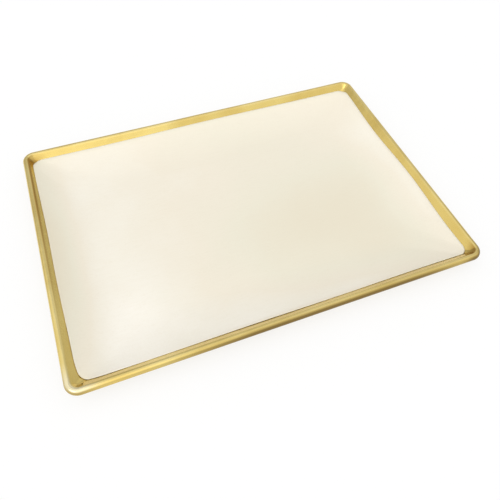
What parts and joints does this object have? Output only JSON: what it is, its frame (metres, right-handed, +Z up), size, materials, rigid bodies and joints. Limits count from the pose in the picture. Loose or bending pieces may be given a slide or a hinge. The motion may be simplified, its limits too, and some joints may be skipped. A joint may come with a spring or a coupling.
{
  "type": "wet palette",
  "caption": "Shallow rectangular wet palette: a gold-lacquered pressed tray with a rolled wired rim, a damp sponge slab and a membrane sheet turned up at its margins.",
  "frame": {"origin": "middle of the tray's flat underside", "axes": "+X along the tray's long side, +Y to its far long side, +Z up out of the tray"},
  "size_m": [0.3094, 0.2234, 0.018],
  "materials": {
    "gold_lacquer": "gold lacquer, semi-gloss",
    "wire_steel": "drawn",
    "cellulose_sponge": "open pores, damp",
    "membrane_paper": "smooth, satin"
  },
  "bodies": {
    "tray": {"tray_pan": "gold_lacquer", "rim_wire": "wire_steel"},
    "sponge": {"reservoir_sponge": "cellulose_sponge"},
    "sheet": {"membrane_sheet": "membrane_paper"}
  },
  "joints": [
    {"name": "sponge_lift", "type": "slide", "parent": "tray", "child": "sponge", "axis": [0, 0, 1], "range_m": [0, 0.06]},
    {"name": "sheet_lift", "type": "slide", "parent": "sponge", "child": "sheet", "axis": [0, 0, 1], "range_m": [0, 0.06]}
  ]
}
